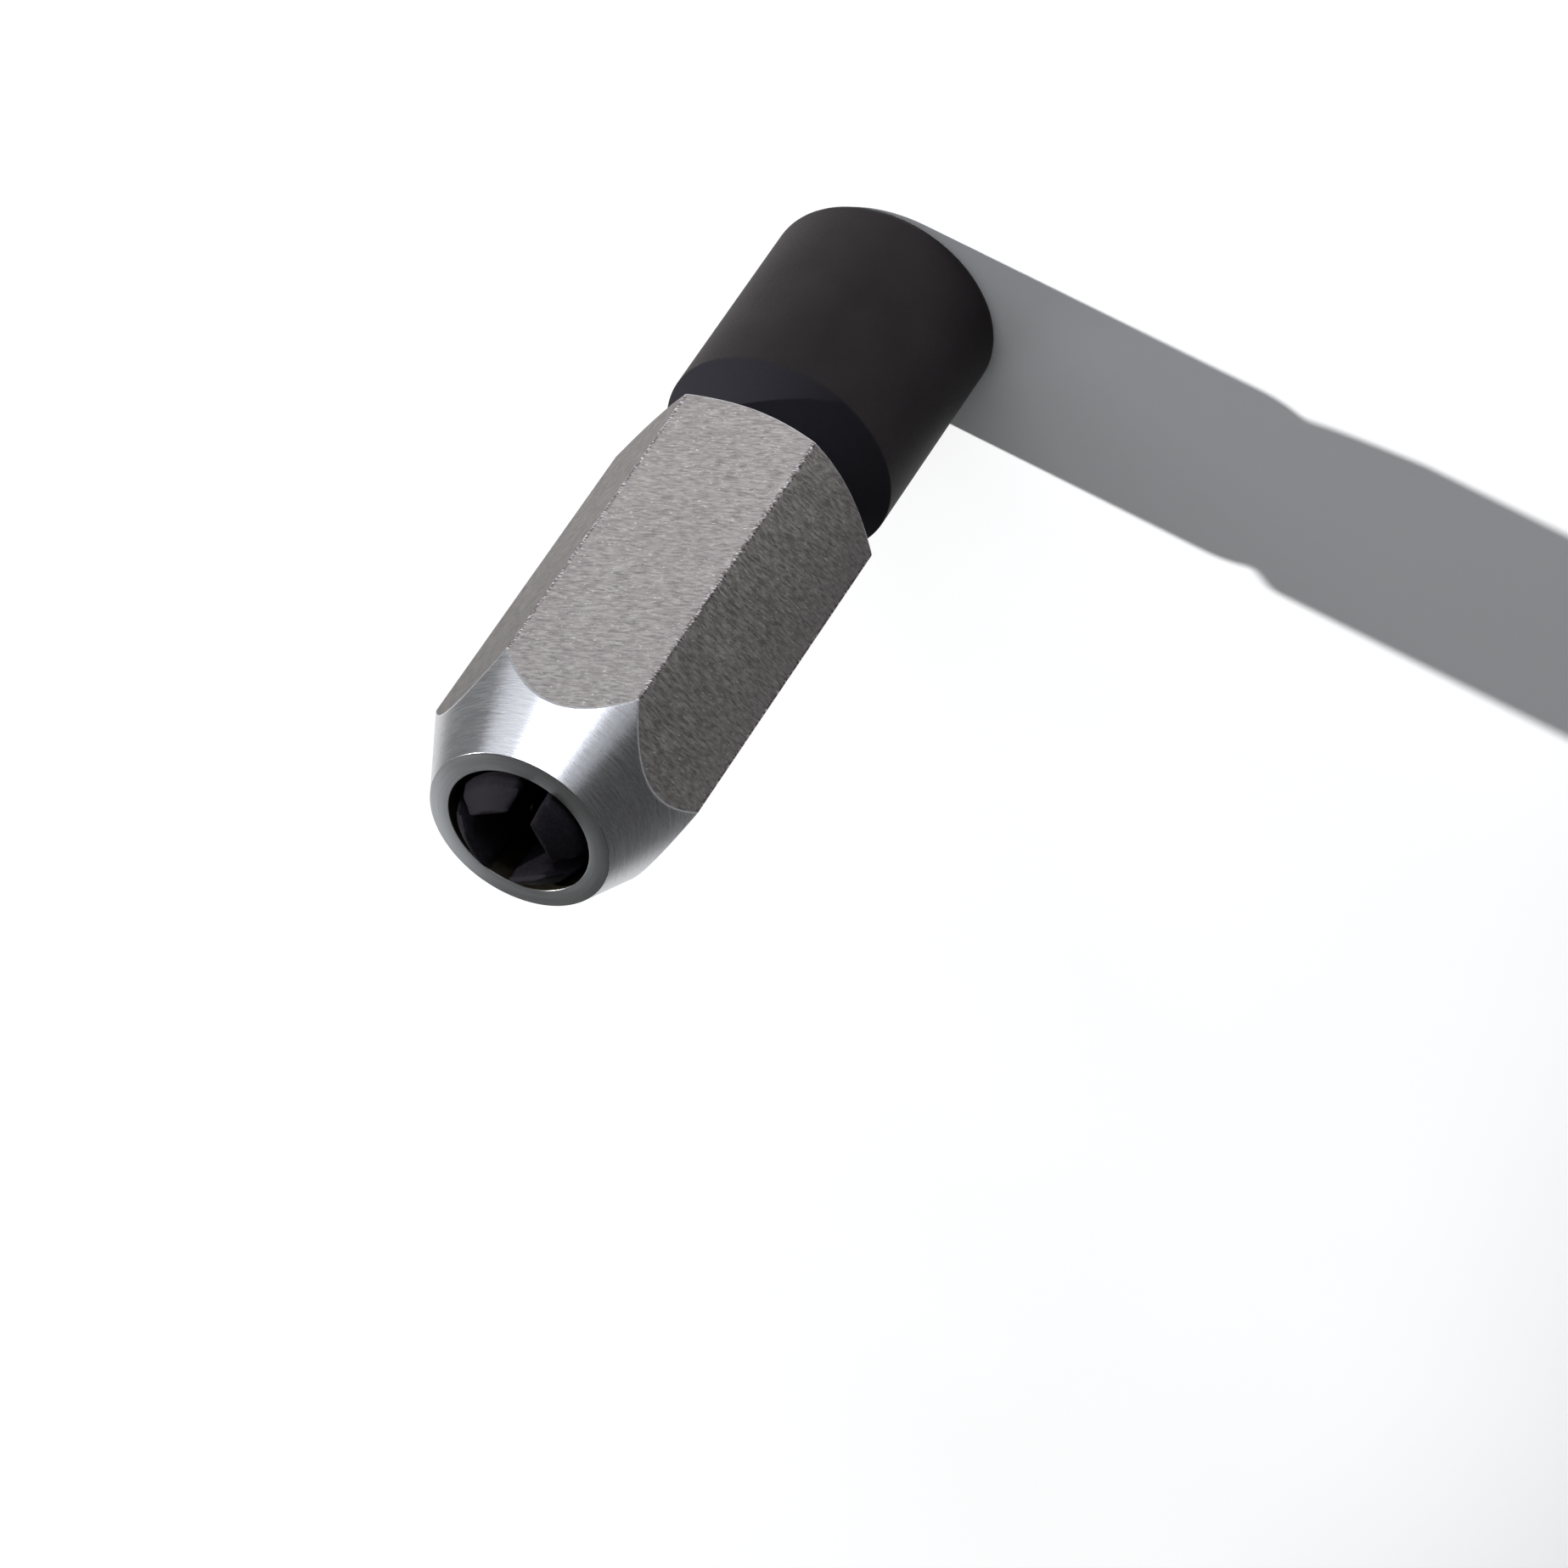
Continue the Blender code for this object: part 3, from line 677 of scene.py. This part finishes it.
def jaw_mesh():
    """The jaw on +X: a lofted quarter, a tongue below it and four spring holes."""
    low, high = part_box("jaw_1")[0].z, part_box("jaw_1")[1].z
    seat = high - JAW_LENGTH
    slope = math.tan(CLOSING_ANGLE)
    mouth_gap = JAW_SEAT_GAP / math.cos(CLOSING_ANGLE)
    cone_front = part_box("hex_nut")[1].z - MOUTH_LENGTH
    cone_apex = cone_front + (MOUTH_RADIUS - mouth_gap) / slope
    knee = cone_apex - JAW_RADIUS / slope
    bevel_rear = (JAW_TIP_RADIUS + high - cone_apex * slope) / (1 - slope)
    soft, nose = JAW_SEAT_EDGE, JAW_CHAMFER
    # Each level: its height, and how far the sides and the outer arc are drawn in there
    levels = [
        (seat, soft, soft),
        (seat + 0.3 * soft, 0.3 * soft, 0.3 * soft),
        (seat + soft, 0.0, 0.0),
        (knee - 0.15 * MM, 0.0, 0.0),
        (knee, 0.0, 0.015 * MM),
        (knee + 0.15 * MM, 0.0, 0.0),
        (bevel_rear - 0.14 * MM, 0.0, 0.0),
        (bevel_rear - 0.03 * MM, 0.0, 0.02 * MM),
        (bevel_rear + 0.05 * MM, 0.0, 0.015 * MM),
        (bevel_rear + 0.14 * MM, 0.0, 0.0),
        (high - 1.12 * nose, 0.0, 0.0),
        (high - 0.90 * nose, 0.13 * nose, 0.0),
        (high - 0.45 * nose, 0.57 * nose, 0.0),
        (high - 0.14 * nose, 0.90 * nose, 0.02 * MM),
        (high, 1.15 * nose, 0.06 * MM),
    ]
    rings = []
    for height, side, arc in levels:
        radius = min(JAW_RADIUS, (cone_apex - height) * slope, JAW_TIP_RADIUS + high - height)
        rings.append(jaw_ring(height, radius - arc, side))
    jaw = add_object("jaw_pattern", skin("jaw_pattern", rings))
    inner = GRIP_HALF + soft
    corners = [
        (inner, -TONGUE_HALF), (TONGUE_END, -TONGUE_HALF), (TONGUE_END, TONGUE_HALF), (inner, TONGUE_HALF)
    ]
    tongue = rounded(corners, [TONGUE_CORNER] * 4)
    tongue_rings = [[(x, y, z) for x, y in tongue] for z in (low, seat + CUT_OVERRUN)]
    combine(jaw, skin("tongue", tongue_rings), "UNION")
    for side in (-1, 1):
        for height in SPRING_HEIGHTS:
            combine(jaw, spring_hole(side, height), "DIFFERENCE")
    mesh = jaw.data
    bpy.data.objects.remove(jaw, do_unlink=True)
    return mesh


def spring_hole(side, height):
    """A blind hole square to the side of the jaw on +X, with a countersunk rim.

    A spring rides on the jaw that holds its one end, so the hole for its other end is deeper
    by as much as two neighbouring jaws close.
    """
    diagonal = side * math.radians(45)
    face = JAW_PARTING / 2
    bottom = face + SPRING_HOLE_DEPTH + (SPRING_TRAVEL if side < 0 else 0.0)
    outline = [
        (0.0, bottom + SPRING_HOLE_POINT),
        (SPRING_HOLE_RADIUS, bottom),
        (SPRING_HOLE_RADIUS, face + SPRING_HOLE_RIM_START),
        (SPRING_HOLE_RADIUS + SPRING_HOLE_RIM, face + SPRING_HOLE_RIM_END),
        (0.0, face + SPRING_HOLE_RIM_END),
    ]
    mesh = turned("spring_hole", outline, HOLE_SEGMENTS)
    place = (SPRING_REACH * math.cos(diagonal), SPRING_REACH * math.sin(diagonal), height)
    lay_down = Matrix.Rotation(QUARTER_TURN, 4, "Y")
    turn = Matrix.Rotation(diagonal - side * QUARTER_TURN, 4, "Z")
    mesh.transform(Matrix.Translation(place) @ turn @ lay_down)
    return mesh


def make_jaws():
    pattern = jaw_mesh()
    material = black_jaw()
    for number in range(1, 5):
        mesh = pattern.copy()
        mesh.transform(Matrix.Rotation(QUARTER_TURN * (number - 1), 4, "Z"))
        jaw = add_object(f"jaw_{number}_shell", mesh, material)
        shade(jaw)
        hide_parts(f"jaw_{number}")
        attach(jaw, f"jaw_{number}")


def body_outline(stem_end):
    """Half section of the drive body, from the pilot's tip round the outside to the bore's tip."""
    rear_turns = [QUARTER_TURN * step / REAR_EDGE_STEPS for step in range(REAR_EDGE_STEPS + 1)]
    return [
        (0.0, PILOT_END + PILOT_RADIUS / math.tan(DRILL_POINT)),
        (PILOT_RADIUS, PILOT_END),
        (PILOT_RADIUS, 0.0),
        *((BODY_RADIUS - REAR_EDGE_RADIUS * (1 - math.sin(turn)), REAR_EDGE_RADIUS * (1 - math.cos(turn)))
          for turn in rear_turns),
        *((BODY_RADIUS + out * MM, BODY_LENGTH + forward * MM) for out, forward in SHOULDER_EDGE),
        *((STEM_CORE_RADIUS + out * MM, SHOULDER_END + forward * MM) for out, forward in STEM_FOOT),
        (STEM_CORE_RADIUS, stem_end - STEM_EDGE),
        (STEM_CORE_RADIUS - STEM_EDGE, stem_end),
        (SHANK_BORE_RADIUS + STEM_CHAMFER, stem_end),
        (SHANK_BORE_RADIUS, stem_end - STEM_CHAMFER),
        (SHANK_BORE_RADIUS, SHANK_BORE_END),
        (0.0, SHANK_BORE_END - SHANK_BORE_RADIUS / math.tan(DRILL_POINT)),
    ]


def broach():
    """The drive square, with a chamfer at its mouth."""
    half = SQUARE / 2
    mouth = half + SQUARE_CHAMFER
    levels = (
        (mouth + CUT_OVERRUN, -CUT_OVERRUN), (mouth, 0.0), (half, SQUARE_CHAMFER), (half, SQUARE_DEPTH)
    )
    rings = []
    for reach, height in levels:
        points = [(reach, -reach), (reach, reach), (-reach, reach), (-reach, -reach)]
        rings.append([(x, y, height) for x, y in rounded(points, [SQUARE_CORNER] * 4)])
    return skin("broach", rings)


def dimple(turn):
    """The ball that leaves a recess in one wall of the drive square."""
    reach = SQUARE / 2 + DIMPLE_DEPTH - DIMPLE_RADIUS
    bm = bmesh.new()
    bmesh.ops.create_uvsphere(
        bm, u_segments=BALL_SEGMENTS, v_segments=BALL_RINGS, radius=DIMPLE_RADIUS
    )
    place = (reach * math.cos(turn), reach * math.sin(turn), DIMPLE_HEIGHT)
    bmesh.ops.translate(bm, verts=bm.verts, vec=place)
    return mesh_from(bm, "dimple")


def slot_cutter(stem_end):
    """The cross of two slots in the stem's end, in which the jaws' tongues slide."""
    reach = THREAD_RADIUS + CUT_OVERRUN
    wide = SLOT_WIDTH / 2
    cross = []
    for step in range(4):
        turn = Matrix.Rotation(QUARTER_TURN * step, 2)
        cross += [turn @ Vector(corner) for corner in ((reach, -wide), (reach, wide), (wide, wide))]
    rings = [[(p.x, p.y, z) for p in cross] for z in (stem_end - SLOT_DEPTH, stem_end + CUT_OVERRUN)]
    return skin("slots", rings)


def make_body():
    stem_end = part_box("drive_body")[1].z
    mesh = turned("body_shell", body_outline(stem_end), TURNED_SEGMENTS)
    body = add_object("body_shell", mesh, black_oxide())
    combine(body, broach(), "DIFFERENCE")
    for step in range(4):
        combine(body, dimple(QUARTER_TURN * step), "DIFFERENCE")
    combine(body, slot_cutter(stem_end), "DIFFERENCE")
    thread = add_object("stem_thread", thread_ridge("stem_thread", *STEM_THREAD, phase=0.0))
    combine(thread, slot_cutter(stem_end), "DIFFERENCE")
    add_mesh(body, thread.data)
    bpy.data.objects.remove(thread, do_unlink=True)
    shade(body)
    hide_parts("drive_body")
    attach(body, "drive_body")


def spring_mesh():
    """A coil spring along +X with its middle at the origin and a closed turn at each end."""
    coil = (SPRING_DIAMETER - SPRING_WIRE) / 2
    length = SPRING_LENGTH - SPRING_WIRE
    dead = SPRING_DEAD_TURNS * DEAD_TURN_PITCH
    live_turns = SPRING_TURNS - 2 * SPRING_DEAD_TURNS
    path, outward = [], []
    for step in range(SPRING_TURNS * COIL_STEPS + 1):
        turns = step / COIL_STEPS
        start = min(turns / SPRING_DEAD_TURNS, 1.0)
        middle = min(max((turns - SPRING_DEAD_TURNS) / live_turns, 0.0), 1.0)
        finish = max((turns - SPRING_DEAD_TURNS - live_turns) / SPRING_DEAD_TURNS, 0.0)
        along = (start + finish) * dead + middle * (length - 2 * dead) - length / 2
        out = Vector((0.0, math.cos(FULL_TURN * turns), math.sin(FULL_TURN * turns)))
        path.append(Vector((along, 0.0, 0.0)) + out * coil)
        outward.append(out)
    return wire_mesh("spring", path, outward, SPRING_WIRE)


def make_springs(material):
    """Two springs lie in each gap between neighbouring jaws, and ride on the first of the two."""
    pattern = spring_mesh()
    for number in range(1, 9):
        jaw = (number + 1) // 2
        gap = QUARTER_TURN * (jaw - 0.5)
        height = SPRING_HEIGHTS[(number - 1) % 2]
        place = (SPRING_REACH * math.cos(gap), SPRING_REACH * math.sin(gap), height)
        mesh = pattern.copy()
        mesh.transform(Matrix.Translation(place) @ Matrix.Rotation(gap + QUARTER_TURN, 4, "Z"))
        spring = add_object(f"jaw_spring_{number}_coil", mesh, material)
        shade(spring, WIRE_SHARP_ANGLE)
        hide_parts(f"jaw_spring_{number}")
        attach(spring, f"jaw_{jaw}")


def make_ring(material):
    """The sprung wire ring in the nut's groove, open over a short arc."""
    sweep = FULL_TURN - RING_OPENING
    path, outward = [], []
    for step in range(RING_STEPS + 1):
        turn = NUT_ROLL + RING_OPENING / 2 + sweep * step / RING_STEPS
        out = Vector((math.cos(turn), math.sin(turn), 0.0))
        path.append(out * RING_RADIUS + Vector((0.0, 0.0, RING_HEIGHT)))
        outward.append(out)
    ring = add_object("retaining_ring_wire", wire_mesh("ring", path, outward, RING_WIRE), material)
    shade(ring, WIRE_SHARP_ANGLE)
    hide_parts("retaining_ring")
    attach(ring, "retaining_ring")


def make_floor():
    size = FLOOR_SIZE / 2
    corners = [(-size, -size, 0), (size, -size, 0), (size, size, 0), (-size, size, 0)]
    mesh = bpy.data.meshes.new("floor")
    mesh.from_pydata(corners, [], [(0, 1, 2, 3)])
    floor = add_object("floor", mesh, floor_paper())


def place_lamp(lamp, azimuth, elevation, distance, aim):
    turn, rise = math.radians(azimuth), math.radians(elevation)
    direction = (math.cos(rise) * math.cos(turn), math.cos(rise) * math.sin(turn), math.sin(rise))
    away = Vector(direction) * distance
    holder = add_object(lamp.name, lamp)
    holder.location = aim + away
    holder.rotation_euler = (-away).to_track_quat("-Z", "Y").to_euler()
    return holder


def make_spot():
    """The key light: a distant spot whose oval pool covers what the camera sees of the floor."""
    lamp = bpy.data.lights.new("key_spot", "SPOT")
    lamp.shadow_soft_size = SPOT_RADIUS
    lamp.spot_size = math.radians(SPOT_CONE)
    lamp.spot_blend = SPOT_BLEND
    lamp.energy = SPOT_LEVEL * (FULL_TURN * SPOT_DISTANCE) ** 2
    holder = place_lamp(lamp, SPOT_AZIMUTH, SPOT_ELEVATION, SPOT_DISTANCE, SPOT_AIM)
    holder.scale = (1.0, SPOT_NARROWING, 1.0)


def make_softbox(name, azimuth, elevation, distance, width, height, brightness):
    lamp = bpy.data.lights.new(name, "AREA")
    lamp.shape = "RECTANGLE"
    lamp.size = width
    lamp.size_y = height
    lamp.energy = brightness * math.pi * width * height
    lamp.color = SOFTBOX_TINT
    place_lamp(lamp, azimuth, elevation, distance, SOFTBOX_AIM)


def make_world():
    world = bpy.data.worlds.new("studio")
    bpy.context.scene.world = world
    world.use_nodes = True
    background = world.node_tree.nodes["Background"]
    background.inputs["Color"].default_value = (1.0, 1.0, 1.0, 1.0)
    background.inputs["Strength"].default_value = WORLD_LEVEL


def make_camera():
    camera = bpy.data.cameras.new("camera")
    camera.lens = CAMERA_LENS
    camera.sensor_width = CAMERA_SENSOR
    camera.clip_start = CAMERA_CLIP_START
    holder = add_object("camera", camera)
    holder.location = CAMERA_PLACE
    look = (CAMERA_AIM - CAMERA_PLACE).to_track_quat("-Z", "Y").to_matrix()
    holder.rotation_euler = (look @ Matrix.Rotation(CAMERA_ROLL, 3, "Z")).to_euler()
    bpy.context.scene.camera = holder


def main():
    bpy.context.scene.view_settings.view_transform = "Standard"
    make_nut()
    make_jaws()
    make_body()
    wire = wire_steel()
    make_springs(wire)
    make_ring(wire)
    make_floor()
    make_spot()
    for softbox in SOFTBOXES:
        make_softbox(*softbox)
    make_world()
    make_camera()


main()
